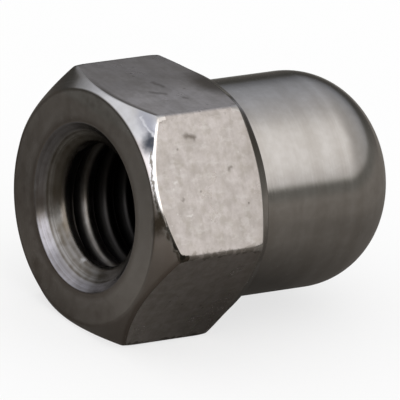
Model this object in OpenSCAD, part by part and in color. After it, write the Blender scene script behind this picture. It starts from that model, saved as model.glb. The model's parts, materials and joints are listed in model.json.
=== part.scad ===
// Cap nut of tall form: hexagon, plain neck and dome turned in one piece, with a blind tapped hole.
// The nut lies on one spanner flat. X runs along the thread from the bearing face to the dome,
// Z is up, and the origin is the centre of the bearing face.

/* [Hexagon] */
// Width across flats
across_flats = 10; // [10:0.1:12]
// Length of the hexagon along the thread
hex_l = 5.7; // [4:0.1:6]
// How far the six long edges are turned down from sharp corners
corner_break = 0.04; // [0.02:0.01:0.25]
// How far the edge of the bearing face lies inside the flats
bearing_inset = 0.18; // [0.05:0.01:0.4]
// Chamfer angle at the bearing face, measured from that face
bearing_chamfer = 40; // [25:1:45]
// How far the inner edge of the rear chamfer lies inside the flats
rear_inset = 0.36; // [0.05:0.01:0.4]
// Chamfer angle at the neck side, measured from the rear face
rear_chamfer = 30; // [20:1:40]

/* [Neck and dome] */
// Overall length from the bearing face to the tip of the dome
overall_l = 13.8; // [13:0.1:16]
// Diameter of the neck
neck_d = 8.85; // [8.4:0.05:9.1]
// Radius at the foot of the neck
neck_root_r = 0.1; // [0.05:0.05:0.15]
// Radius of the shoulder between neck and crown
shoulder_r = 3.25; // [2.8:0.05:3.6]
// Radius of the crown
crown_r = 5.7; // [5.2:0.1:8]

/* [Tapped hole] */
// Nominal diameter of the coarse metric thread
thread_d = 6; // [5:0.5:6]
// Pitch of the thread
thread_pitch = 1; // [0.75:0.05:1]
// Diameter of the countersink at the mouth
mouth_d = 6.95; // [6.5:0.05:8]
// Size of the 45 degree edge round the mouth, before the countersink
mouth_break = 0.34; // [0.1:0.02:0.4]
// Included angle of the countersink
countersink_angle = 108; // [82:1:120]
// Depth of the drilled wall, from the bearing face to the drill point
bore_l = 9.5; // [8:0.1:10]
// Included angle of the drill point
drill_point_angle = 118; // [110:1:135]

/* [Hidden] */
round_fn = 128;
// Every cut starts this far outside the face that it opens
cut_over = 0.5;

// Hexagon
flat_r = across_flats / 2;
sharp_corner_r = flat_r / cos(30);
corner_r = sharp_corner_r - corner_break;
bearing_r = flat_r - bearing_inset;
rear_r = flat_r - rear_inset;
bearing_chamfer_l = (corner_r - bearing_r) * tan(bearing_chamfer);
rear_chamfer_l = (corner_r - rear_r) * tan(rear_chamfer);

// Neck and dome: the shoulder arc runs tangent from the neck into the crown arc
neck_r = neck_d / 2;
root_r = min(neck_root_r, rear_r - neck_r);
shoulder_centre_r = neck_r - shoulder_r;
crown_half_angle = asin(shoulder_centre_r / (crown_r - shoulder_r));
crown_x = overall_l - crown_r;
dome_x = crown_x + (crown_r - shoulder_r) * cos(crown_half_angle);

// Tapped hole: the wall is left by the tap drill, so the crests of the thread lie on it
mouth_r = mouth_d / 2;
tap_r = (thread_d - thread_pitch) / 2;
countersink_l = mouth_break + (mouth_r - mouth_break - tap_r) / tan(countersink_angle / 2);
drill_point_l = tap_r / tan(drill_point_angle / 2);

// Turns a half section about the X axis: its first coordinate is the distance from the axis
module turned() rotate([0, 90, 0]) rotate_extrude($fn = round_fn) children();

// Half section of the bar with both ends chamfered and the long edges turned down
module bar_half_section()
    polygon([
        [0, 0],
        [bearing_r, 0],
        [corner_r, bearing_chamfer_l],
        [corner_r, hex_l - rear_chamfer_l],
        [rear_r, hex_l],
        [0, hex_l]
    ]);

// Half section of the neck, with the radius at its foot
module neck_half_section() {
    square([neck_r, dome_x]);
    translate([neck_r, hex_l]) difference() {
        square(root_r);
        translate([root_r, root_r]) circle(r = root_r, $fn = round_fn);
    }
}

// Half section of the dome: a crown arc about a centre on the axis, and a shoulder arc beside it
module dome_half_section() {
    translate([0, crown_x]) intersection() {
        circle(r = crown_r, $fn = round_fn);
        polygon([[0, 0], [crown_r * tan(crown_half_angle), crown_r], [0, crown_r]]);
    }
    intersection() {
        translate([shoulder_centre_r, dome_x]) circle(r = shoulder_r, $fn = round_fn);
        square([neck_r, overall_l]);
    }
}

// Half section of the hole: broken edge, countersink, drilled wall and drill point
module hole_half_section()
    polygon([
        [0, -cut_over],
        [mouth_r + cut_over, -cut_over],
        [mouth_r - mouth_break, mouth_break],
        [tap_r, countersink_l],
        [tap_r, bore_l],
        [0, bore_l + drill_point_l]
    ]);

// The chamfers cut the six flats in arcs
module hexagon()
    intersection() {
        rotate([0, 90, 0]) linear_extrude(hex_l) rotate(30) circle(r = sharp_corner_r, $fn = 6);
        turned() bar_half_section();
    }

module cap_nut()
    color("silver") difference() {
        union() {
            hexagon();
            turned() neck_half_section();
            turned() dome_half_section();
        }
        turned() hole_half_section();
    }

cap_nut();
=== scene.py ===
"""Tall cap nut with a tapped blind hole, lying on one spanner flat under soft studio light."""

import json
import math
from types import SimpleNamespace

import bmesh
import bpy
from bpy.props import FloatProperty, FloatVectorProperty, IntProperty, PointerProperty
from bpy.types import Operator, Panel, PropertyGroup
from mathutils import Matrix, Quaternion, Vector


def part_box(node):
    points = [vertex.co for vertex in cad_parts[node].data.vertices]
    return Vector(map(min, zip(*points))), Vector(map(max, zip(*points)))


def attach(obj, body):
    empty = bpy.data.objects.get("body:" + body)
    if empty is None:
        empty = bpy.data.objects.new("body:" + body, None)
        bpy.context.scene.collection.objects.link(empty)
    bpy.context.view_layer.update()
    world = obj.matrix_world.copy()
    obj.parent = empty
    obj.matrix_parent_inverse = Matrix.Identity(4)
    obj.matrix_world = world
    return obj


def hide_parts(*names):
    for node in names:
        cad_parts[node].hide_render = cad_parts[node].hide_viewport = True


bl_info = {
    "name": "Cap Nut",
    "version": (1, 0, 0),
    "blender": (4, 5, 0),
    "location": "View3D > Sidebar > Cap Nut",
    "description": "Models a steel cap nut with a cut thread and sets it in a small studio",
    "category": "Object",
}

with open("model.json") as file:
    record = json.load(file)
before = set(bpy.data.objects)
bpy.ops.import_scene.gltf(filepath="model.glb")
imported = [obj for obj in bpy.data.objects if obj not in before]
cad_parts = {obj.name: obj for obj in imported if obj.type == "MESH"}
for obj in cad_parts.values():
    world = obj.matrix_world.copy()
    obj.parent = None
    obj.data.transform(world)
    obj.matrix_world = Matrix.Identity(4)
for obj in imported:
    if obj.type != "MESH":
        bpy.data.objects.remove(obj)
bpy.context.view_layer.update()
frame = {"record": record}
NUT_LOW, NUT_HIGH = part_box("cap_nut")
THREAD = next(mount for mount in frame["record"]["mounts"] if mount["name"] == "thread")
NODE = "cap_nut"

MM = 0.001
RIGHT_ANGLE = math.radians(90)
# Places in the mesh that are nearer than this, in millimetres, are the same place
TOLERANCE = 1e-4

# A flat of the hexagon reaches round by this angle on each side of its middle
SIDES = 6
HALF_FLAT = math.radians(180 / SIDES)
# Outward directions of the two flats on the near side, which is the side of -Y
NEAR_UPPER_FLAT = (0, -math.cos(HALF_FLAT), math.sin(HALF_FLAT))
NEAR_LOWER_FLAT = (0, -math.cos(HALF_FLAT), -math.sin(HALF_FLAT))

# Faces of the nut by how they were made; each kind is also its face's material slot
TURNED, DRAWN, TAPPED = range(3)


# ---------------------------------------------------------------- settings


class NutSizes(PropertyGroup):
    across_flats: FloatProperty(
        name="Across Flats", description="Width of the hexagon across its flats",
        default=NUT_HIGH.z - NUT_LOW.z, unit="LENGTH", precision=5)
    overall_length: FloatProperty(
        name="Overall Length", description="From the bearing face to the tip of the dome",
        default=NUT_HIGH.x - NUT_LOW.x, unit="LENGTH", precision=5)
    hexagon_length: FloatProperty(
        name="Hexagon Length", description="From the bearing face to the rear face of the hexagon",
        default=5.7 * MM, unit="LENGTH", precision=5)
    edge_radius: FloatProperty(
        name="Long Edge Radius", description="Rounding of the six long edges of the drawn bar",
        default=0.26 * MM, unit="LENGTH", precision=5)
    corner_wear: FloatProperty(
        name="Corner Wear", description="How much rounder the long edges are at their ends",
        default=0.18 * MM, unit="LENGTH", precision=5)
    bearing_inset: FloatProperty(
        name="Bearing Inset",
        description="How far the edge of the bearing face lies inside the flats",
        default=0.18 * MM, unit="LENGTH", precision=5)
    bearing_chamfer: FloatProperty(
        name="Bearing Chamfer", description="Angle of the chamfer, measured from the bearing face",
        default=math.radians(40), subtype="ANGLE")
    rear_chamfer: FloatProperty(
        name="Rear Chamfer",
        description="Angle of the chamfer at the neck, measured from the rear face",
        default=math.radians(30), subtype="ANGLE")
    rear_break: FloatProperty(
        name="Rear Break",
        description="How sharply the flats turn into the worn band at their rear",
        default=math.radians(20), subtype="ANGLE")
    rear_band: FloatProperty(
        name="Rear Band", description="Length of the worn band between the flats and the rear edge",
        default=0.34 * MM, unit="LENGTH", precision=5)
    rear_edge: FloatProperty(
        name="Rear Edge", description="Rounding between the worn band and the rear face",
        default=0.2 * MM, unit="LENGTH", precision=5)
    front_edge: FloatProperty(
        name="Front Edge", description="Rounding between the flats and the front chamfer",
        default=0.12 * MM, unit="LENGTH", precision=5)
    neck_diameter: FloatProperty(
        name="Neck Diameter", description="Diameter of the plain neck",
        default=8.85 * MM, unit="LENGTH", precision=5)
    neck_root_radius: FloatProperty(
        name="Neck Root Radius", description="Radius at the foot of the neck",
        default=0.1 * MM, unit="LENGTH", precision=5)
    shoulder_radius: FloatProperty(
        name="Shoulder Radius", description="Radius between the neck and the crown",
        default=3.25 * MM, unit="LENGTH", precision=5)
    crown_radius: FloatProperty(
        name="Crown Radius", description="Radius of the dome's crown",
        default=5.7 * MM, unit="LENGTH", precision=5)
    columns: IntProperty(
        name="Columns", description="Steps of one turn about the thread axis", default=360)


class ThreadSizes(PropertyGroup):
    mouth_diameter: FloatProperty(
        name="Mouth Diameter", description="Diameter of the countersink at the bearing face",
        default=6.95 * MM, unit="LENGTH", precision=5)
    mouth_break: FloatProperty(
        name="Mouth Break",
        description="Size of the 45 degree edge at the mouth, before the countersink",
        default=0.34 * MM, unit="LENGTH", precision=5)
    mouth_edge: FloatProperty(
        name="Mouth Edge", description="Rounding between the bearing face and the mouth",
        default=0.2 * MM, unit="LENGTH", precision=5)
    wall_start: FloatProperty(
        name="Wall Start", description="Depth at which the countersink meets the drilled wall",
        default=THREAD["pos_m"][0], unit="LENGTH", precision=5)
    wall_edge: FloatProperty(
        name="Wall Edge", description="Rounding between the countersink and the drilled wall",
        default=0.45 * MM, unit="LENGTH", precision=5)
    tap_radius: FloatProperty(
        name="Tap Drill Radius", description="Radius of the drilled wall, on which the crests lie",
        default=THREAD["dims"]["r_mm"] * MM, unit="LENGTH", precision=5)
    root_radius: FloatProperty(
        name="Root Radius", description="Radius of the thread's roots",
        default=3.0 * MM, unit="LENGTH", precision=5)
    wall_end: FloatProperty(
        name="Wall End", description="Depth of the drilled wall below the bearing face",
        default=THREAD["pos_m"][0] + THREAD["dims"]["length_mm"] * MM, unit="LENGTH", precision=5)
    crest_rounding: FloatProperty(
        name="Crest Rounding", description="Radius between the flanks and the crests",
        default=0.3 * MM, unit="LENGTH", precision=5)
    thread_end: FloatProperty(
        name="Thread End", description="Depth at which the thread ends",
        default=8.0 * MM, unit="LENGTH", precision=5)
    pitch: FloatProperty(
        name="Pitch", description="Pitch of the thread",
        default=1.0 * MM, unit="LENGTH", precision=5)
    start_angle: FloatProperty(
        name="Start Angle", description="Turns the helix about the thread axis",
        default=math.radians(35), subtype="ANGLE")
    drill_point: FloatProperty(
        name="Drill Point", description="Included angle of the drill point",
        default=math.radians(118), subtype="ANGLE")


class NutFinish(PropertyGroup):
    steel: FloatVectorProperty(
        name="Steel", description="Colour of the bare stainless steel where it was turned or cut",
        default=(0.60, 0.585, 0.565), subtype="COLOR", min=0, max=1)
    flats: FloatVectorProperty(
        name="Flats", description="Colour of the bare stainless steel on the flats",
        default=(0.66, 0.62, 0.60), subtype="COLOR", min=0, max=1)
    # Also the colour of the painted shade on the front chamfer, the rear band, the upper flat and
    # in the countersink
    soil_and_shade: FloatVectorProperty(
        name="Soil", description="Colour of the dirt that lies in pits and tool marks",
        default=(0.10, 0.082, 0.058), subtype="COLOR", min=0, max=1)
    film: FloatVectorProperty(
        name="Film", description="Colour of the steel where it is dull and slightly brown",
        default=(0.33, 0.30, 0.26), subtype="COLOR", min=0, max=1)
    # Also the colour of the painted highlights in the countersink and on the lip of the wall
    bright: FloatVectorProperty(
        name="Bright", description="Colour of the steel where it was rubbed or nicked",
        default=(0.78, 0.765, 0.74), subtype="COLOR", min=0, max=1)


class StudioSettings(PropertyGroup):
    floor_colour: FloatVectorProperty(
        name="Floor", description="Colour of the pale floor",
        default=(0.97, 0.97, 0.97), subtype="COLOR", min=0, max=1)
    floor_reach: FloatProperty(
        name="Floor Reach", description="From the nut to the edges of the floor",
        default=2, unit="LENGTH")
    view_azimuth: FloatProperty(
        name="View Azimuth", description="Direction of the camera, 0 looks along +Y",
        default=math.radians(-38.88), subtype="ANGLE")
    view_elevation: FloatProperty(
        name="View Elevation", description="Height of the camera above the horizon",
        default=math.radians(21.63), subtype="ANGLE")
    view_roll: FloatProperty(
        name="View Roll", description="Turn of the camera about its line of sight",
        default=math.radians(8.5), subtype="ANGLE")
    view_distance: FloatProperty(
        name="View Distance", description="From the camera to the point that it looks at",
        default=488.6 * MM, unit="LENGTH", precision=4)
    view_target: FloatVectorProperty(
        name="View Target", description="The point that the camera looks at",
        default=(5.86 * MM, 0, -0.39 * MM), subtype="TRANSLATION", precision=5)
    lens: FloatProperty(
        name="Lens", description="Focal length of the camera", default=1089, unit="CAMERA")
    tent_radius: FloatProperty(
        name="Tent Radius", description="Radius of the light tent round the nut",
        default=120 * MM, unit="LENGTH", precision=4)
    light_direction: FloatVectorProperty(
        name="Light Direction", description="The side of the tent that the soft light comes from",
        default=(-0.50, -0.48, 0.72), subtype="DIRECTION")


# ---------------------------------------------------------------- shaping


def in_millimetres(settings):
    """The lengths of a property group in millimetres and its other values as they are."""
    values = {}
    for name, prop in settings.bl_rna.properties.items():
        if name not in ("rna_type", "name"):
            value = getattr(settings, name)
            values[name] = value / MM if prop.type == "FLOAT" and prop.unit == "LENGTH" else value
    return SimpleNamespace(**values)


def draw_line(bm, last, x, radius):
    """Draws a straight stretch of a half outline from its last vertex and returns the new one."""
    new = bmesh.ops.extrude_vert_indiv(bm, verts=[last])["verts"][0]
    new.co = (x, 0, radius)
    return new


def draw_rows(bm, last, x, radius, rows):
    """Draws a straight stretch in rows that are narrow at both ends, to follow the hexagon."""
    start = last.co.copy()
    for row in range(1, rows + 1):
        share = (1 - math.cos(math.pi * row / rows)) / 2
        last = draw_line(bm, last, start.x + (x - start.x) * share,
                         start.z + (radius - start.z) * share)
    return last


def draw_arc(bm, last, centre_x, centre_radius, angle, steps):
    """Draws a round stretch of a half outline about a centre and returns the new last vertex."""
    made = bmesh.ops.spin(bm, geom=[last], cent=(centre_x, 0, centre_radius), axis=(0, 1, 0),
                          angle=angle, steps=steps)
    return made["geom_last"][0]


def bearing_radius(nut):
    """Radius of the outer edge of the bearing face."""
    return nut.across_flats / 2 - nut.bearing_inset


def rear_profile(nut):
    """Where the flats start to turn into the rear band, and the radius at which its edge ends."""
    turn = nut.rear_break
    start = (nut.hexagon_length - nut.rear_edge * (1 - math.sin(turn)) - nut.rear_band
             - nut.front_edge * math.sin(turn))
    end_radius = (nut.across_flats / 2 - nut.front_edge * (1 - math.cos(turn))
                  - nut.rear_band * math.tan(turn) - nut.rear_edge * math.cos(turn))
    return start, end_radius


def outline_hole(bm, hole):
    """Draws the drill point, the drilled wall, the countersink and the broken edge of the mouth."""
    mouth = hole.mouth_diameter / 2
    mouth_slope = math.radians(45)
    mouth_reach = hole.mouth_edge * math.tan(mouth_slope / 2)
    flare = math.atan2(mouth - hole.mouth_break - hole.tap_radius,
                       hole.wall_start - hole.mouth_break)
    wall_reach = hole.wall_edge * math.tan(flare / 2)
    drill_tip = hole.wall_end + hole.tap_radius / math.tan(hole.drill_point / 2)

    last = bm.verts.new((drill_tip, 0, 0))
    last = draw_line(bm, last, hole.wall_end, hole.tap_radius)
    last = draw_rows(bm, last, hole.wall_start + wall_reach, hole.tap_radius, rows=6)
    last = draw_arc(bm, last, last.co.x, hole.tap_radius + hole.wall_edge, flare, steps=8)
    last = draw_rows(bm, last, hole.mouth_break, mouth - hole.mouth_break, rows=4)
    last = draw_rows(bm, last, mouth_reach * math.cos(mouth_slope),
                     mouth - mouth_reach * math.sin(mouth_slope), rows=4)
    return draw_arc(bm, last, hole.mouth_edge, mouth + mouth_reach, mouth_slope, steps=5)


def outline_bar(bm, last, nut):
    """Draws the bearing face, the front chamfer, the flat and the worn band behind it."""
    flat = nut.across_flats / 2
    rear_x, rear = rear_profile(nut)
    front_x = nut.bearing_inset * math.tan(nut.bearing_chamfer)
    front_turn = RIGHT_ANGLE - nut.bearing_chamfer
    front_reach = nut.front_edge * math.tan(front_turn / 2)

    last = draw_rows(bm, last, 0, bearing_radius(nut), rows=8)
    last = draw_rows(bm, last, front_x - front_reach * math.sin(nut.bearing_chamfer),
                     flat - front_reach * math.cos(nut.bearing_chamfer), rows=4)
    last = draw_arc(bm, last, front_x + front_reach, flat - nut.front_edge, front_turn, steps=3)
    last = draw_rows(bm, last, rear_x, flat, rows=16)
    last = draw_arc(bm, last, rear_x, flat - nut.front_edge, nut.rear_break, steps=3)
    last = draw_rows(bm, last, last.co.x + nut.rear_band,
                     last.co.z - nut.rear_band * math.tan(nut.rear_break), rows=4)
    return draw_arc(bm, last, nut.hexagon_length - nut.rear_edge, rear,
                    RIGHT_ANGLE - nut.rear_break, steps=8)


def outline_dome(bm, last, nut):
    """Draws the rear face, the neck and the dome, which ends on the thread axis."""
    neck = nut.neck_diameter / 2
    root = nut.neck_root_radius
    shoulder_centre = neck - nut.shoulder_radius
    crown_turn = math.asin(shoulder_centre / (nut.crown_radius - nut.shoulder_radius))
    crown_x = nut.overall_length - nut.crown_radius
    dome_x = crown_x + (nut.crown_radius - nut.shoulder_radius) * math.cos(crown_turn)

    last = draw_rows(bm, last, nut.hexagon_length, neck + root, rows=3)
    last = draw_arc(bm, last, nut.hexagon_length + root, neck + root, -RIGHT_ANGLE, steps=4)
    last = draw_rows(bm, last, dome_x, neck, rows=10)
    last = draw_arc(bm, last, dome_x, shoulder_centre, RIGHT_ANGLE - crown_turn, steps=24)
    last = draw_arc(bm, last, crown_x, 0, crown_turn, steps=12)
    last.co.z = 0


def half_outline(nut, hole):
    """Half section of the nut through the middle of a flat, from the drill point to the dome."""
    bm = bmesh.new()
    last = outline_hole(bm, hole)
    last = outline_bar(bm, last, nut)
    outline_dome(bm, last, nut)
    return bm


def hexagon_reach(flat, edge_radius, angle):
    """How far a hexagonal bar with rounded long edges reaches past its flats at an angle."""
    edge_centre = (flat - edge_radius) / math.cos(HALF_FLAT)
    off_flat = abs((angle + HALF_FLAT) % (2 * HALF_FLAT) - HALF_FLAT)
    off_edge = HALF_FLAT - off_flat
    aside = edge_centre * math.sin(off_edge)
    if aside < edge_radius * math.sin(HALF_FLAT):
        return edge_centre * math.cos(off_edge) + math.sqrt(edge_radius ** 2 - aside ** 2) - flat
    return flat / math.cos(off_flat) - flat


def turn_and_spread(bm, nut):
    """Spins the half outline into a skin and spreads the bar's part of it to the hexagon.

    The front chamfer, the flats and the rear chamfer keep their slopes, so the flats end in the
    arcs that such chamfers cut. The steps of the turn are gathered towards the long edges.
    """
    flat = nut.across_flats / 2
    bearing = bearing_radius(nut)
    rear_x, rear = rear_profile(nut)
    front_slope = math.tan(nut.bearing_chamfer)
    rear_slope = -math.tan(nut.rear_chamfer)
    front_reach = nut.front_edge * math.tan((RIGHT_ANGLE - nut.bearing_chamfer) / 2)
    front_x = nut.bearing_inset * front_slope + front_reach
    worn_length = 0.6
    gathering = 0.7

    on_bar = bm.verts.layers.int.new("on_bar")
    share_out = bm.verts.layers.float.new("share_out")
    slope = bm.verts.layers.float.new("slope")
    edge_radius = bm.verts.layers.float.new("edge_radius")
    for vert in bm.verts:
        x, radius = vert.co.x, vert.co.z
        if x <= nut.hexagon_length + TOLERANCE and radius > rear - TOLERANCE:
            vert[on_bar] = 1
            inner = bearing if x < front_x else rear
            ends = x < front_x or x > rear_x
            vert[share_out] = max(0, min(1, (radius - inner) / (flat - inner))) if ends else 1
            along = min(1, max(0, (x - front_x) / (rear_x - front_x)))
            vert[slope] = front_slope + (rear_slope - front_slope) * along
            off_end = max(0, min(x - front_x, rear_x - x))
            wear = max(0, 1 - off_end / worn_length) ** 2
            vert[edge_radius] = nut.edge_radius + nut.corner_wear * wear
    bmesh.ops.spin(bm, geom=bm.verts[:] + bm.edges[:], cent=(0, 0, 0), axis=(1, 0, 0),
                   angle=math.tau, steps=nut.columns, use_merge=True)
    for vert in bm.verts:
        radius = math.hypot(vert.co.y, vert.co.z)
        angle = math.atan2(-vert.co.y, vert.co.z)
        angle += gathering * math.sin(SIDES * angle) / SIDES
        if vert[on_bar]:
            spread = hexagon_reach(flat, vert[edge_radius], angle) * vert[share_out]
            radius += spread
            vert.co.x += spread * vert[slope]
        vert.co.y, vert.co.z = -radius * math.sin(angle), radius * math.cos(angle)
    bmesh.ops.remove_doubles(bm, verts=bm.verts, dist=TOLERANCE)
    bmesh.ops.recalc_face_normals(bm, faces=bm.faces)


def surface_kind(face, nut, hole):
    """Which kind of surface a face belongs to, from where it lies and where it faces."""
    centre = face.calc_center_median()
    radius = math.hypot(centre.y, centre.z)
    outward = (face.normal.y * centre.y + face.normal.z * centre.z) / max(radius, TOLERANCE)
    faces_inwards = outward < -0.01
    faces_sideways = abs(face.normal.x) < 0.02
    if faces_inwards and radius < hole.mouth_diameter / 2:
        return TAPPED
    on_bar = centre.x < nut.hexagon_length and radius > nut.neck_diameter / 2 + nut.neck_root_radius
    return DRAWN if on_bar and faces_sideways else TURNED


def groove_cutter(hole):
    """The helical bar that cuts the thread: one groove section swept along the thread axis.

    Its first stretch is drawn in towards the axis, so that the groove gains its depth gradually.
    """
    flank = math.radians(60)
    steps_a_turn = 96
    clearance = 0.004
    thickness = 0.1
    lead_in = 0.35
    drawn_in_most = 0.6

    start_x = -hole.pitch
    steps = round(steps_a_turn * (hole.thread_end - start_x) / hole.pitch)
    inner = hole.tap_radius - clearance
    back = inner - thickness
    rounding_drop = hole.crest_rounding * (1 - math.cos(flank))
    root_half = 0.02 * hole.pitch
    flank_half = root_half + (hole.root_radius - inner - rounding_drop) / math.tan(flank)
    crest_half = flank_half + hole.crest_rounding * math.sin(flank)

    bm = bmesh.new()
    first = bm.verts.new((start_x - crest_half, 0, back))
    last = draw_line(bm, first, start_x - crest_half, inner)
    last = draw_arc(bm, last, start_x - crest_half, inner + hole.crest_rounding, -flank, steps=6)
    last = draw_line(bm, last, start_x - root_half, hole.root_radius)
    last = draw_line(bm, last, start_x + root_half, hole.root_radius)
    last = draw_line(bm, last, start_x + flank_half, inner + rounding_drop)
    last = draw_arc(bm, last, start_x + crest_half, inner + hole.crest_rounding, -flank, steps=6)
    last = draw_line(bm, last, start_x + crest_half, back)
    bm.edges.new((last, first))
    bmesh.ops.rotate(bm, verts=bm.verts, cent=(0, 0, 0),
                     matrix=Matrix.Rotation(hole.start_angle, 3, "X"))
    bmesh.ops.spin(bm, geom=bm.verts[:] + bm.edges[:], cent=(0, 0, 0), axis=(1, 0, 0),
                   angle=math.tau * steps / steps_a_turn, steps=steps,
                   dvec=(hole.pitch / steps_a_turn, 0, 0))
    bmesh.ops.holes_fill(bm, edges=[edge for edge in bm.edges if edge.is_boundary], sides=0)
    for vert in bm.verts:
        drawn_in = min(drawn_in_most, max(0, hole.wall_start + lead_in - vert.co.x))
        radius = math.hypot(vert.co.y, vert.co.z)
        vert.co.yz = vert.co.yz * (radius - drawn_in) / radius
    bmesh.ops.recalc_face_normals(bm, faces=bm.faces)
    for face in bm.faces:
        face.material_index = TAPPED
    return bm


def scratch_object(name, bm, materials=()):
    """A new object that holds the bmesh, which is then freed."""
    mesh = bpy.data.meshes.new(name)
    for material in materials:
        mesh.materials.append(material)
    bm.to_mesh(mesh)
    bm.free()
    thing = bpy.data.objects.new(name, mesh)
    bpy.context.scene.collection.objects.link(thing)
    return thing


def cut_away(body, cutter):
    """Cuts one object out of another for good and removes the cutter."""
    boolean = body.modifiers.new("Cut", "BOOLEAN")
    boolean.operation = "DIFFERENCE"
    boolean.solver = "EXACT"
    boolean.object = cutter
    graph = bpy.context.evaluated_depsgraph_get()
    result = bpy.data.meshes.new_from_object(body.evaluated_get(graph))
    body.modifiers.clear()
    body.data = result
    bpy.data.objects.remove(cutter)


def to_metres(body, sharp_from):
    """Scales the finished mesh to metres and shades it smooth, apart from its sharp edges."""
    bm = bmesh.new()
    bm.from_mesh(body.data)
    bmesh.ops.scale(bm, vec=(MM, MM, MM), verts=bm.verts)
    for face in bm.faces:
        face.smooth = True
    for edge in bm.edges:
        if len(edge.link_faces) == 2 and edge.calc_face_angle(0) > sharp_from:
            edge.smooth = False
    bm.to_mesh(body.data)
    bm.free()


# ---------------------------------------------------------------- finishes

# Tints that only single marks have
BLUED = (0.33, 0.33, 0.355, 1)
BROWNED = (0.42, 0.33, 0.29, 1)
BRUISED = (0.045, 0.048, 0.055, 1)
# The painted highlight on the flat's front rounding
PAINTED_EDGE_HIGHLIGHT = (0.82, 0.78, 0.74, 1)
GRIMY = (0.03, 0.028, 0.022, 1)
MOTTLED = (0.42, 0.39, 0.32, 1)
CUT = (0.36, 0.345, 0.365, 1)
# Old cutting oil and painted shade in the bore
OIL_AND_SHADE = (0.035, 0.032, 0.03, 1)
UNLIT = (0.006, 0.006, 0.006, 1)

# Scratches on the flats: start, end and width in millimetres, and the share of their coat
SOILED_SCRATCHES = (
    ((1.98, -3.33, 4.22), (2.34, -3.40, 4.11), 0.42, 0.68),
    ((3.82, -4.12, 2.86), (3.88, -4.08, 2.93), 0.26, 0.6),
    ((1.25, -4.60, 2.05), (1.35, -4.55, 2.13), 0.24, 0.5),
    ((2.78, 0.25, 5.0), (2.94, -0.18, 5.0), 0.42, 0.5),
    ((2.10, -0.60, 5.0), (2.56, -0.86, 5.0), 0.40, 0.5),
    ((3.10, -1.42, 5.0), (3.19, -1.53, 5.0), 0.30, 0.5))
BRIGHT_SCRATCHES = (
    ((1.05, -4.24, 2.62), (1.22, -4.22, 2.66), 0.2, 0.8),
    ((1.40, -4.93, 1.45), (1.60, -4.91, 1.50), 0.2, 0.8))


class Recipe:
    """The node tree of one material, with a short call for each kind of node that it needs."""

    def __init__(self, name):
        self.material = bpy.data.materials.new(name)
        self.material.use_nodes = True
        self.nodes = self.material.node_tree.nodes
        self.links = self.material.node_tree.links
        self.shader = self.nodes["Principled BSDF"]

    def feed(self, node, inputs):
        """Links or sets the inputs of a node."""
        for key, value in inputs.items():
            if isinstance(value, bpy.types.NodeSocket):
                self.links.new(value, node.inputs[key])
            else:
                node.inputs[key].default_value = value

    def add(self, kind, inputs, output=0, **settings):
        """Adds a node, links or sets its inputs and returns one of its outputs."""
        node = self.nodes.new("ShaderNode" + kind)
        for key, value in settings.items():
            setattr(node, key, value)
        self.feed(node, inputs)
        return node.outputs[output]

    def math(self, operation, first, second=0.0):
        return self.add("Math", {0: first, 1: second}, operation=operation)

    def vector(self, operation, first, second=(0, 0, 0), output="Vector"):
        return self.add("VectorMath", {0: first, 1: second}, output, operation=operation)

    def along(self, place, direction):
        """How far a place lies in a direction."""
        return self.vector("DOT_PRODUCT", place, direction, "Value")

    def mix(self, share, first, second):
        return self.add("Mix", {"Factor": share, "A": first, "B": second}, "Result",
                        data_type="RGBA")

    def step(self, value, low, high, to_low=0.0, to_high=1.0):
        """A soft step from one level to another while the value goes from low to high."""
        return self.add("MapRange", {"Value": value, "From Min": low, "From Max": high,
                                     "To Min": to_low, "To Max": to_high},
                        interpolation_type="SMOOTHSTEP")

    def noise(self, place, scale, detail=3.0, roughness=0.5):
        return self.add("TexNoise", {"Vector": place, "Scale": scale, "Detail": detail,
                                     "Roughness": roughness}, "Fac")

    def levels(self, value, stops):
        """Levels between stops, each a value from 0 upwards and the grey there."""
        top = stops[-1][0]
        node = self.nodes.new("ShaderNodeValToRGB")
        for place, _ in stops[1:-1]:
            node.color_ramp.elements.new(place / top)
        for element, (place, grey) in zip(node.color_ramp.elements, stops):
            element.position = place / top
            element.color = (grey, grey, grey, 1)
        self.links.new(self.math("DIVIDE", value, top), node.inputs["Fac"])
        return node.outputs["Color"]

    def show(self, shader):
        """Makes another shader the material's surface."""
        self.links.new(shader, self.nodes["Material Output"].inputs["Surface"])


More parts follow.
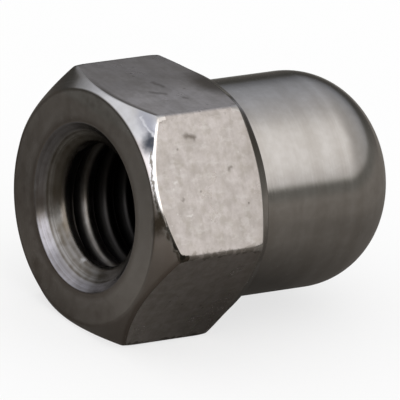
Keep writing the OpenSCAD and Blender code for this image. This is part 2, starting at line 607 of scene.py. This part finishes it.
class SteelRecipe(Recipe):
    """Bare stainless steel and the coats of film, soil, wear, painted shade and painted highlights
    that lie over it.

    Places are in millimetres. A share says how much of a coat lies at a place, from 0 to 1.
    """

    def __init__(self, name, finish, bare):
        super().__init__(name)
        self.shader.inputs["Metallic"].default_value = 1
        metres = self.add("TexCoord", {}, "Object")
        self.place = self.add("Mapping", {"Vector": metres, "Scale": (1 / MM, 1 / MM, 1 / MM)})
        self.x, self.y, self.z = self.add("SeparateXYZ", {"Vector": self.place}).node.outputs
        across = self.vector("MULTIPLY", self.place, (0, 1, 1))
        self.radius = self.vector("LENGTH", across, output="Value")
        self.lathe = self.add("CombineXYZ", {"X": self.x, "Y": self.radius})
        warp = self.noise(self.place, 3.5, 3.0).node.outputs["Color"]
        warp = self.vector("SUBTRACT", warp, (0.5, 0.5, 0.5))
        warp = self.vector("MULTIPLY", warp, (0.3, 0.3, 0.3))
        self.warped = self.vector("ADD", self.place, warp)
        self.soil_and_shade, self.film, self.bright = (
            (*colour, 1) for colour in (finish.soil_and_shade, finish.film, finish.bright))
        self.colour = (*bare, 1)

    def overlap(self, *shares):
        """The product of several shares, which is high only where all of them are."""
        left = shares[0]
        for share in shares[1:]:
            left = self.math("MULTIPLY", left, share)
        return left

    def coat(self, colour, *shares):
        """Lays a colour over the ones before it, as thick as the product of its shares."""
        self.colour = self.mix(self.overlap(*shares), self.colour, colour)

    def patch(self, centre, size, share=1.0):
        """A soft spot inside an ellipsoid, strongest at its centre."""
        reach = self.vector("DIVIDE", self.vector("SUBTRACT", self.warped, centre), size)
        return self.step(self.vector("LENGTH", reach, output="Value"), 0.2, 1, share, 0)

    def scratch(self, start, end, width, share):
        """A wandering soft mark along a line between two points."""
        start, end = Vector(start), Vector(end)
        line = end - start
        off = self.vector("SUBTRACT", self.warped, start)
        place = self.along(off, line / line.length_squared)
        nearest = self.add("VectorMath", {0: line, "Scale": self.add("Clamp", {"Value": place})},
                           operation="SCALE")
        return self.step(self.vector("DISTANCE", off, nearest, "Value"), 0, 0.5 * width, share, 0)

    def pits(self, scale, size, share):
        """1 in small pits at random places, only in a share of the cells."""
        cells = self.add("TexVoronoi", {"Vector": self.place, "Scale": scale, "Randomness": 1.0},
                         "Distance")
        chosen = self.add("SeparateColor", {"Color": cells.node.outputs["Color"]}, "Red")
        return self.overlap(self.step(cells, 0.4 * size, size, 1, 0),
                            self.math("LESS_THAN", chosen, share))

    def finish(self, roughness, height, depth):
        """Gives the shader its colour and roughness, and embosses a height to a depth in metres."""
        self.feed(self.shader, {"Base Color": self.colour, "Roughness": roughness,
                                "Normal": self.add("Bump", {"Height": height, "Distance": depth})})
        return self.material


def stain_bearing_face(steel, nut, on_face, clouds):
    """Random stains on the face, which is darker towards its far lower side and round its rim, and
    lighter towards the near side.
    """
    rim = steel.step(steel.radius, bearing_radius(nut) - 0.16, bearing_radius(nut) - 0.04)
    far_side = steel.along(steel.place, (0, 0.75, -0.66))
    near_side = steel.along(steel.place, (0, -1, 0.15))
    spots = steel.noise(steel.place, 1.8, 3.0, 0.6)
    stain = steel.math("ADD", steel.step(clouds, 0.4, 0.75, 0, 0.10),
                       steel.step(far_side, 1.8, 4.0, 0, 0.28))
    stain = steel.math("ADD", stain, steel.step(spots, 0.42, 0.68, 0, 0.16))
    steel.coat(steel.soil_and_shade, on_face, stain)
    steel.coat(steel.bright, on_face, steel.step(near_side, 1.2, 3.8, 0, 0.5))
    for centre in ((0, 2.53, -3.52), (0, 2.35, -4.05)):
        steel.coat(steel.soil_and_shade, steel.patch(centre, (0.2, 0.45, 0.4), 0.5))
    steel.coat(steel.soil_and_shade, on_face, rim, steel.step(steel.z, -1, 1, 0, 0.55))


def soil_and_shade_front_chamfer(steel, nut, hole, in_front, on_face):
    """Soil round the mouth, painted shade on the front chamfer, most of it low down, and along the
    lower flat's front edge, and a darkening towards the far side.
    """
    flat = nut.across_flats / 2
    mouth = hole.mouth_diameter / 2
    chamfer = steel.step(steel.radius, bearing_radius(nut) - 0.16, bearing_radius(nut) - 0.06)
    past_face = steel.overlap(in_front, chamfer)
    shaded_band = steel.overlap(steel.step(steel.z, 2.2, 1.4), steel.step(steel.z, -2.5, 0.5))
    to_lower_flat = steel.along(steel.place, NEAR_LOWER_FLAT)
    off_face = steel.math("SUBTRACT", in_front, on_face)
    steel.coat(steel.soil_and_shade, in_front,
               steel.step(steel.radius, mouth + 0.025, mouth + 0.375, 0.45, 0))
    # Painted shade: the chamfer is darker towards the bottom and in a band below the corner, and
    # the lower flat's front edge is darkened
    steel.coat(steel.soil_and_shade, past_face, steel.step(steel.z, 2.6, -1.5, 0, 0.44))
    steel.coat(steel.soil_and_shade, past_face, shaded_band, 0.16)
    steel.coat(steel.soil_and_shade, steel.step(to_lower_flat, flat - 0.16, flat - 0.08), in_front, 0.55)
    # Darker towards the far side
    steel.coat(steel.soil_and_shade, off_face, steel.step(steel.y, 0.4, 2.2, 0, 0.42))


def knock_and_highlight_front_corner(steel, nut, in_front):
    """Knocks where the front chamfer crosses the near long edge, the broken edge below them, and a
    painted highlight along the flat's front rounding.
    """
    flat = nut.across_flats / 2
    to_flat = steel.along(steel.warped, NEAR_UPPER_FLAT)
    below_top = steel.overlap(steel.step(steel.z, 3.9, 4.2, 1, 0), in_front)
    steel.coat(BROWNED, below_top, steel.step(to_flat, flat - 0.14, flat - 0.20, 0, 0.3))
    steel.coat(BLUED, steel.scratch((0.43, -2.35, 5.05), (0.42, -3.45, 4.25), 1.3, 0.9))
    steel.coat(BRUISED, steel.patch((0.33, -3.26, 4.10), (0.60, 0.62, 0.76)))
    steel.coat(steel.bright, steel.scratch((0.408, -2.30, 4.78), (0.464, -3.15, 4.35), 0.20, 0.45))

    # A painted highlight on the rounding where the flat starts, beside a burr that is full of soil
    true_to_flat = steel.along(steel.place, NEAR_UPPER_FLAT)
    rounding = steel.step(true_to_flat, flat - 0.07, flat - 0.03)
    uneven = steel.step(steel.noise(steel.place, 3.0, 2.0), 0.35, 0.5, 0.55, 1)
    steel.coat(PAINTED_EDGE_HIGHLIGHT, rounding, steel.step(steel.z, 1.6, 2.2), in_front, uneven)
    burr = steel.overlap(steel.step(to_flat, flat - 0.17, flat - 0.12),
                         steel.step(to_flat, flat - 0.10, flat - 0.05, 1, 0))
    broken = steel.step(steel.noise(steel.place, 2.2, 2.0), 0.42, 0.5)
    steel.coat(steel.soil_and_shade, burr, broken, below_top, 0.85)

    # The lower end of that line is under grime
    steel.coat(steel.soil_and_shade, steel.patch((0.07, -4.78, 1.25), (0.35, 0.45, 0.85), 0.95))
    lower_end = steel.overlap(steel.step(steel.z, 1.9, 1.3, 0, 0.95),
                              steel.step(steel.z, -1.4, 0.2))
    steel.coat(GRIMY, steel.step(to_flat, flat - 0.09, flat - 0.04), lower_end, in_front)


def turned_steel(finish, nut, hole):
    """Lathe rings on the round surfaces, with a stained bearing face, a knocked corner with a
    painted highlight, and painted shade on the front chamfer and the rear band.
    """
    steel = SteelRecipe("turned_steel", finish, finish.steel)
    rings = steel.noise(steel.lathe, 9.0, 2.0, 0.6)
    bands = steel.noise(steel.lathe, 1.1, 2.0)
    grain = steel.noise(steel.place, 3.0, 4.0)
    clouds = steel.noise(steel.place, 0.9, 4.0)
    on_face = steel.step(steel.x, 0.01, 0.04, 1, 0)
    in_front = steel.step(steel.x, 1.3, 1.6, 1, 0)
    rear = nut.hexagon_length
    on_rear_band = steel.overlap(steel.step(steel.x, rear - 0.80, rear - 0.55),
                                 steel.step(steel.x, rear + 0.02, rear + 0.08, 1, 0))

    steel.coat(steel.film, steel.step(grain, 0.3, 0.7, 0, 0.16))
    steel.coat(steel.film, steel.step(bands, 0.35, 0.65, 0, 0.26))
    steel.coat(steel.film, steel.step(clouds, 0.4, 0.7, 0, 0.14))
    stain_bearing_face(steel, nut, on_face, clouds)
    soil_and_shade_front_chamfer(steel, nut, hole, in_front, on_face)
    knock_and_highlight_front_corner(steel, nut, in_front)
    # Painted shade on the worn rear band, stronger towards the top
    steel.coat(steel.soil_and_shade, on_rear_band, steel.step(steel.z, 1.5, 3.8, 0, 0.75))

    duller = steel.step(in_front, 0, 1, 0, 0.08)
    coarse = steel.step(in_front, 0, 1, 0.3, 2.0)
    roughness = steel.math("ADD", steel.step(rings, 0.3, 0.7, 0.09, 0.15), duller)
    relief = steel.math("ADD", rings, steel.overlap(grain, coarse))
    return steel.finish(roughness, relief, 0.0012 * MM)


def drawn_steel(finish, nut):
    """Mottled, pitted flats with faint drawing lines, single knocks and soiled long edges."""
    steel = SteelRecipe("drawn_steel", finish, finish.flats)
    flat = nut.across_flats / 2
    rear = nut.hexagon_length
    long_edge = flat + hexagon_reach(flat, nut.edge_radius, HALF_FLAT)
    grain = steel.noise(steel.place, 5.0, 5.0, 0.6)
    blotches = steel.noise(steel.place, 1.9, 3.0, 0.55)
    clouds = steel.noise(steel.place, 0.6, 2.0)
    lines = steel.noise(steel.vector("MULTIPLY", steel.place, (5, 0.35, 0.35)), 1.0, 2.0)
    mottle = steel.noise(steel.warped, 2.6, 4.0, 0.65)
    streaks = steel.noise(steel.vector("MULTIPLY", steel.warped, (1.5, 3.5, 3.5)), 1.0, 4.0, 0.6)
    pits = steel.pits(1.4, 0.11, 0.5)
    on_upper_flat = steel.step(steel.z, flat - 0.3, flat - 0.1)
    off_upper_flat = steel.math("SUBTRACT", 1.0, on_upper_flat)

    steel.coat(steel.film, steel.step(grain, 0.35, 0.7, 0, 0.20))
    steel.coat(steel.film, steel.step(blotches, 0.38, 0.66, 0, 0.32))
    steel.coat(steel.film, steel.step(clouds, 0.35, 0.7, 0, 0.08))
    steel.coat(steel.film, steel.step(lines, 0.45, 0.7, 0, 0.14))
    steel.coat(MOTTLED, steel.step(mottle, 0.45, 0.68, 0, 0.28), off_upper_flat)
    steel.coat(steel.bright, steel.step(streaks, 0.52, 0.68, 0, 0.3), off_upper_flat)
    steel.coat(steel.bright, steel.pits(2.3, 0.13, 0.35), steel.step(steel.z, -0.4, 0.4, 0, 0.5))
    steel.coat(steel.film, steel.step(steel.x, rear - 1.9, rear - 0.5, 0, 0.15))
    steel.coat(steel.soil_and_shade, pits, 0.4)

    # The upper flat has painted shade, a dark reflection painted in, on its far side and at the
    # neck, and is soiled along its front arc
    past_face = steel.math("SUBTRACT", steel.radius, bearing_radius(nut))
    arc_x = steel.math("MULTIPLY", past_face, math.tan(nut.bearing_chamfer))
    past_arc = steel.math("SUBTRACT", steel.x, arc_x)
    near_end = steel.step(steel.y, 1.6, -0.2)
    steel.coat(steel.soil_and_shade, on_upper_flat, steel.step(steel.y, -1.3, 0.4, 0, 0.42))
    steel.coat(steel.soil_and_shade, steel.patch((5.1, -0.5, 5.0), (1.2, 1.7, 1.0), 0.92))
    steel.coat(steel.soil_and_shade, on_upper_flat, steel.step(past_arc, 0.12, 0.36, 0.7, 0), near_end)

    for mark in SOILED_SCRATCHES:
        steel.coat(steel.soil_and_shade, steel.scratch(*mark))
    for mark in BRIGHT_SCRATCHES:
        steel.coat(steel.bright, steel.scratch(*mark))
    ragged = steel.step(steel.noise(steel.place, 2.6, 4.0, 0.6), 0.3, 0.7, -0.085, 0.075)
    on_long_edge = steel.step(steel.math("ADD", steel.radius, ragged),
                              long_edge - 0.043, long_edge - 0.023)
    steel.coat(steel.soil_and_shade, on_long_edge, steel.step(steel.z, 0.5, -0.5, 0.15, 0.65))

    roughness = steel.step(clouds, 0.3, 0.7, 0.27, 0.33)
    swells = steel.math("ADD", grain, steel.math("MULTIPLY", blotches, 2.0))
    relief = steel.math("ADD", swells, steel.math("MULTIPLY", pits, -1.5))
    return steel.finish(roughness, relief, 0.003 * MM)


def tapped_steel(finish, hole):
    """Dirty countersink and thread with cutting rings, painted shade that darkens them with depth,
    and painted highlights on the countersink and the lip of the wall.
    """
    steel = SteelRecipe("tapped_steel", finish, finish.steel)
    wall = hole.tap_radius
    broken_edge = hole.mouth_diameter / 2 - hole.mouth_break
    rings = steel.noise(steel.lathe, 6.0, 2.0, 0.6)
    grain = steel.noise(steel.place, 2.2, 4.0)
    on_mouth = steel.step(steel.radius, broken_edge - 0.115, broken_edge + 0.115)
    worn = steel.math("ADD", steel.step(rings, 0.35, 0.65, 0, 0.22),
                      steel.step(grain, 0.35, 0.7, 0, 0.14))
    shaded_wall_edge = steel.overlap(steel.step(steel.radius, wall + 0.45, wall + 0.2),
                                steel.step(steel.z, -2.25, -1.6, 0, 0.6))

    steel.coat(steel.soil_and_shade, steel.math("ADD", worn, 0.62))
    steel.coat(CUT, on_mouth, steel.math("SUBTRACT", 0.75, worn))
    # Painted shade on the far lower side of the mouth and round the lip of the wall, but not at its
    # bottom
    steel.coat(steel.soil_and_shade, steel.patch((0.16, 3.05, -1.2), (0.4, 0.65, 1.05), 0.74))
    steel.coat(steel.soil_and_shade, shaded_wall_edge, steel.step(steel.x, 0.95, 0.85))
    # Painted highlights on the countersink's far lower side and on the lip of the wall at its
    # bottom
    steel.coat(steel.bright, steel.patch((0.59, 2.42, -1.39), (0.25, 0.5, 0.7), 0.2))
    steel.coat(steel.bright, steel.patch((0.727, 0.454, -2.562), (0.2, 0.2, 0.2), 0.4))

    # Painted shade darkens the bore, most of all its roof, the thread's roots and its far end; part
    # of it is old cutting oil
    shaded_roof = steel.overlap(steel.step(steel.z, -1.05, -0.2, 0, 0.42), steel.step(steel.x, 0.6, 0.95))
    bore_shade = steel.math("ADD", steel.step(steel.x, 0.5, 0.95, 0, 0.42), shaded_roof)
    shaded_roots = steel.overlap(steel.step(steel.radius, wall + 0.03, wall + 0.3),
                             steel.step(steel.x, 0.6, 1.2))
    deep_shade = steel.step(steel.x, 1.4, 2.9, 0, 0.96)
    oil_and_shade = steel.math("MAXIMUM", bore_shade, steel.math("MAXIMUM", shaded_roots, deep_shade))
    steel.coat(OIL_AND_SHADE, oil_and_shade, 0.95)
    # Painted darkness deep in the bore
    steel.coat(UNLIT, steel.step(steel.x, 2.1, 3.1, 0, 0.75))

    duller = steel.step(steel.x, 0.8, 1.2, 0, 0.08)
    roughness = steel.math("ADD", steel.step(on_mouth, 0, 1, 0.26, 0.22), duller)
    return steel.finish(roughness, rings, 0.003 * MM)


# ---------------------------------------------------------------- studio

# Levels of the tent, from 0 straight away from the light to 2 straight towards it
TENT_LEVELS = (
    (0.0, 0.10), (0.56, 0.16), (0.75, 0.36), (0.95, 0.45), (1.15, 0.55),
    (1.24, 0.66), (1.32, 0.90), (1.36, 1.0), (2.0, 1.0))
# Brighter spots on the tent: direction, angles at which each starts and is full, and level
TENT_SPOTS = (
    ((-0.35, -0.80, 0.49), 40, 18, 1.1),
    ((-0.80, -0.33, 0.50), 27, 11, 0.9))
# Levels of the ground in the gloss, dark near the nut where its shadow is painted in, at distances
# in millimetres from under the nut
GROUND_LEVELS = (
    (0, 0.04), (3.8, 0.047), (4.7, 0.064), (6.0, 0.085), (7.7, 0.11), (10.7, 0.155),
    (16.8, 0.19), (26, 0.25), (60, 0.27))


def seen_by_gloss_only(thing):
    """Leaves a light or card in reflections only, and out of the rest of the picture."""
    thing.visible_camera = False
    thing.visible_diffuse = False
    thing.visible_transmission = False
    thing.visible_volume_scatter = False
    thing.visible_shadow = False


def glow(recipe, colour, level):
    """Makes the material shine for gloss rays, without being sampled as a lamp."""
    recipe.material.cycles.emission_sampling = "NONE"
    recipe.show(recipe.add("Emission", {"Color": colour, "Strength": level}))
    return recipe.material


def upward(degrees):
    """How high a direction points that rises by an angle."""
    return math.sin(math.radians(degrees))


def tent_light(studio):
    """Soft light from one side of the tent, with two brighter spots, over a dark rim."""
    tent = Recipe("tent_light")
    direction = tent.vector("NORMALIZE", tent.add("TexCoord", {}, "Object"))
    y, z = tent.add("SeparateXYZ", {"Vector": direction}).node.outputs[1:]

    towards = tent.along(direction, Vector(studio.light_direction).normalized())
    level = tent.levels(tent.math("ADD", towards, 1.0), TENT_LEVELS)
    level = tent.math("MULTIPLY", level, 1.08)
    for aim, outer, inner, full in TENT_SPOTS:
        spot = tent.step(tent.along(direction, Vector(aim).normalized()),
                         math.cos(math.radians(outer)), math.cos(math.radians(inner)), 0, full)
        level = tent.math("ADD", level, spot)

    rim = tent.math("MULTIPLY", tent.step(z, 0, upward(9), 0.24, 0.175),
                    tent.step(y, -0.1, 0.5, 1, 0.4))
    above_rim = tent.step(z, upward(11), upward(18))
    level = tent.math("ADD", tent.math("MULTIPLY", level, above_rim),
                      tent.math("MULTIPLY", rim, tent.math("SUBTRACT", 1.0, above_rim)))

    warm_side = tent.along(direction, Vector((0.45, -0.75, 0.5)).normalized())
    sky = tent.mix(tent.step(warm_side, 0.1, 0.8), (0.97, 0.995, 1.08, 1), (1, 0.97, 0.955, 1))
    ground = tent.mix(tent.step(z, 0, 0.15), (1, 0.925, 0.85, 1), (1, 0.97, 0.90, 1))
    return glow(tent, tent.mix(above_rim, ground, sky), level)


def card_light():
    """What the gloss sees of the ground, with the nut's shadow painted in: dark close to the nut,
    ahead of it and behind it, paler further off.
    """
    card = Recipe("card_light")
    middle_x = 6.5
    place = card.add("Mapping", {"Vector": card.add("TexCoord", {}, "Object"),
                                 "Scale": (1 / MM, 1 / MM, 0), "Location": (-middle_x, 0, 0)})
    ahead = card.along(place, (1, 0, 0))
    behind = card.along(place, (-0.6, 0.8, 0))
    level = card.levels(card.vector("LENGTH", place, output="Value"), GROUND_LEVELS)
    level = card.math("MULTIPLY", level, card.step(ahead, 4.5, 12, 1, 0.82))
    level = card.math("MULTIPLY", level, card.step(behind, 7, 22, 1, 0.5))
    colour = card.mix(card.step(behind, -6, 10), (1, 0.92, 0.84, 1), (1, 0.965, 0.90, 1))
    return glow(card, colour, level)


def floor_paper(colour):
    """Pale matt paper that stays white where it is seen, with a faint shadow under the nut."""
    paper = Recipe("floor_paper")
    paper.feed(paper.shader, {"Base Color": (*colour, 1), "Roughness": 0.9,
                              "Specular IOR Level": 0})
    rays = paper.add("LightPath", {}).node.outputs
    seen = paper.math("MAXIMUM", rays["Is Camera Ray"], rays["Is Glossy Ray"])
    seen = paper.math("MAXIMUM", seen, rays["Is Transmission Ray"])
    white = paper.add("Emission", {"Color": (1, 1, 1, 1), "Strength": 1.0})
    paper.material.cycles.emission_sampling = "NONE"
    whitened = paper.math("MULTIPLY", seen, 0.7)
    paper.show(paper.add("MixShader", {0: whitened, 1: paper.shader.outputs["BSDF"], 2: white}))
    return paper.material


def add_camera(scene, studio):
    """A camera at the studio's angle, turned about its line of sight."""
    camera = bpy.data.objects.new("camera", bpy.data.cameras.new("camera"))
    scene.collection.objects.link(camera)
    scene.camera = camera
    camera.data.lens = studio.lens
    azimuth, elevation = studio.view_azimuth, studio.view_elevation
    back = Vector((math.sin(azimuth) * math.cos(elevation),
                   -math.cos(azimuth) * math.cos(elevation), math.sin(elevation)))
    camera.location = Vector(studio.view_target) + back * studio.view_distance
    camera.rotation_mode = "QUATERNION"
    camera.rotation_quaternion = ((-back).to_track_quat("-Z", "Y")
                                  @ Quaternion((0, 0, 1), studio.view_roll))


def add_white_world(scene):
    """Even white light for the floor; the nut's gloss sees the tent instead."""
    scene.world = bpy.data.worlds.new("white")
    scene.world.use_nodes = True
    scene.world.node_tree.nodes["Background"].inputs["Color"].default_value = (1, 1, 1, 1)
    scene.world.cycles.sampling_method = "NONE"


# ---------------------------------------------------------------- operators


class CAPNUT_OT_add_studio(Operator):
    """Sets up the camera, the white world, the pale floor and the light tent"""

    bl_idname = "capnut.add_studio"
    bl_label = "Add Studio"

    def execute(self, context):
        scene = context.scene
        studio = scene.capnut_studio
        scene.view_settings.view_transform = "Standard"
        add_camera(scene, studio)
        add_white_world(scene)

        floor_mesh = bmesh.new()
        bmesh.ops.create_grid(floor_mesh, size=studio.floor_reach,
                              matrix=Matrix.Translation((0, 0, NUT_LOW.z)))
        floor = scratch_object("floor", floor_mesh, [floor_paper(studio.floor_colour)])

        card_mesh = bmesh.new()
        card_height = NUT_LOW.z + 0.01 * MM
        bmesh.ops.create_circle(card_mesh, cap_ends=True, radius=studio.tent_radius, segments=64,
                                matrix=Matrix.Translation((0, 0, card_height)))
        card = scratch_object("card", card_mesh, [card_light()])

        tent_mesh = bmesh.new()
        bmesh.ops.create_icosphere(tent_mesh, subdivisions=5, radius=studio.tent_radius)
        tent = scratch_object("tent", tent_mesh, [tent_light(studio)])

        seen_by_gloss_only(card)
        seen_by_gloss_only(tent)
        return {"FINISHED"}


class CAPNUT_OT_add_nut(Operator):
    """Turns the blank, cuts the hexagon and the thread, and gives every surface its finish"""

    bl_idname = "capnut.add_nut"
    bl_label = "Add Nut"

    def execute(self, context):
        scene = context.scene
        nut = in_millimetres(scene.capnut_sizes)
        hole = in_millimetres(scene.capnut_thread)
        finish = scene.capnut_finish
        materials = [turned_steel(finish, nut, hole), drawn_steel(finish, nut),
                     tapped_steel(finish, hole)]
        bm = half_outline(nut, hole)
        turn_and_spread(bm, nut)
        for face in bm.faces:
            face.material_index = surface_kind(face, nut, hole)
        body = scratch_object("nut", bm, materials)
        cut_away(body, scratch_object("groove_cutter", groove_cutter(hole), materials))
        to_metres(body, sharp_from=math.radians(25))
        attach(body, "root")
        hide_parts(NODE)
        return {"FINISHED"}


class CAPNUT_PT_sidebar(Panel):
    """Sizes, finish and studio of the cap nut"""

    bl_idname = "CAPNUT_PT_sidebar"
    bl_label = "Cap Nut"
    bl_space_type = "VIEW_3D"
    bl_region_type = "UI"
    bl_category = "Cap Nut"

    def draw(self, context):
        scene = context.scene
        for title, settings in (("Nut", scene.capnut_sizes), ("Thread", scene.capnut_thread),
                                ("Finish", scene.capnut_finish), ("Studio", scene.capnut_studio)):
            box = self.layout.box()
            box.label(text=title)
            for name in settings.bl_rna.properties.keys():
                if name not in ("rna_type", "name"):
                    box.prop(settings, name)
        for step in STEPS:
            self.layout.operator(step.bl_idname)


STEPS = (CAPNUT_OT_add_studio, CAPNUT_OT_add_nut)
GROUPS = {"capnut_sizes": NutSizes, "capnut_thread": ThreadSizes,
          "capnut_finish": NutFinish, "capnut_studio": StudioSettings}
CLASSES = (*GROUPS.values(), *STEPS, CAPNUT_PT_sidebar)


def register():
    for kind in CLASSES:
        bpy.utils.register_class(kind)
    for name, group in GROUPS.items():
        setattr(bpy.types.Scene, name, PointerProperty(type=group))


def unregister():
    for name in GROUPS:
        delattr(bpy.types.Scene, name)
    for kind in reversed(CLASSES):
        bpy.utils.unregister_class(kind)


def main():
    register()
    bpy.ops.capnut.add_studio()
    bpy.ops.capnut.add_nut()
    bpy.context.view_layer.update()


if __name__ == "__main__":
    main()
